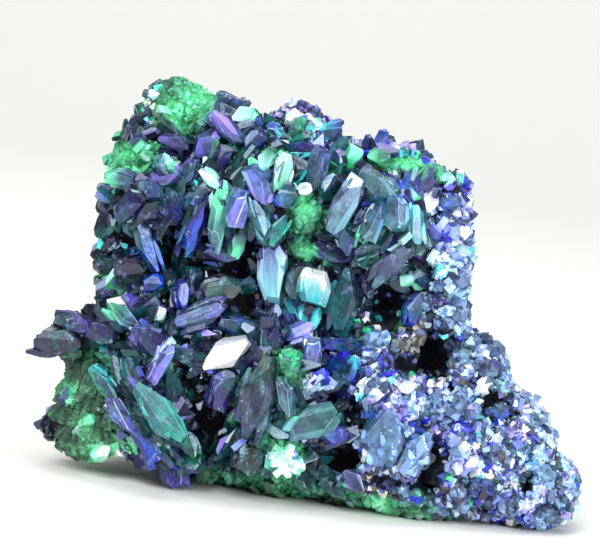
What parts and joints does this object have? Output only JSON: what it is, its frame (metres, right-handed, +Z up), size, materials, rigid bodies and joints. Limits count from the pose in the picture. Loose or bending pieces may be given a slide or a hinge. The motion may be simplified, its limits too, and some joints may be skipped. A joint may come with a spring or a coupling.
{
  "type": "azurite specimen",
  "caption": "Mineral specimen: upright blades of azurite and a sparkling druse on brown matrix with green malachite, flat underneath to stand on.",
  "frame": {"origin": "centre of the specimen's box, on the flat base it stands on", "axes": "+Z up, +X along the front from the high end with the malachite knob to the low toe, -Y towards the front with the large blades"},
  "size_m": [0.0603, 0.0345, 0.044],
  "materials": {
    "azurite": "glassy blue-violet crystal faces over matt brown rock and green malachite"
  },
  "bodies": {
    "root": {"azurite_specimen": "azurite"}
  },
  "joints": []
}
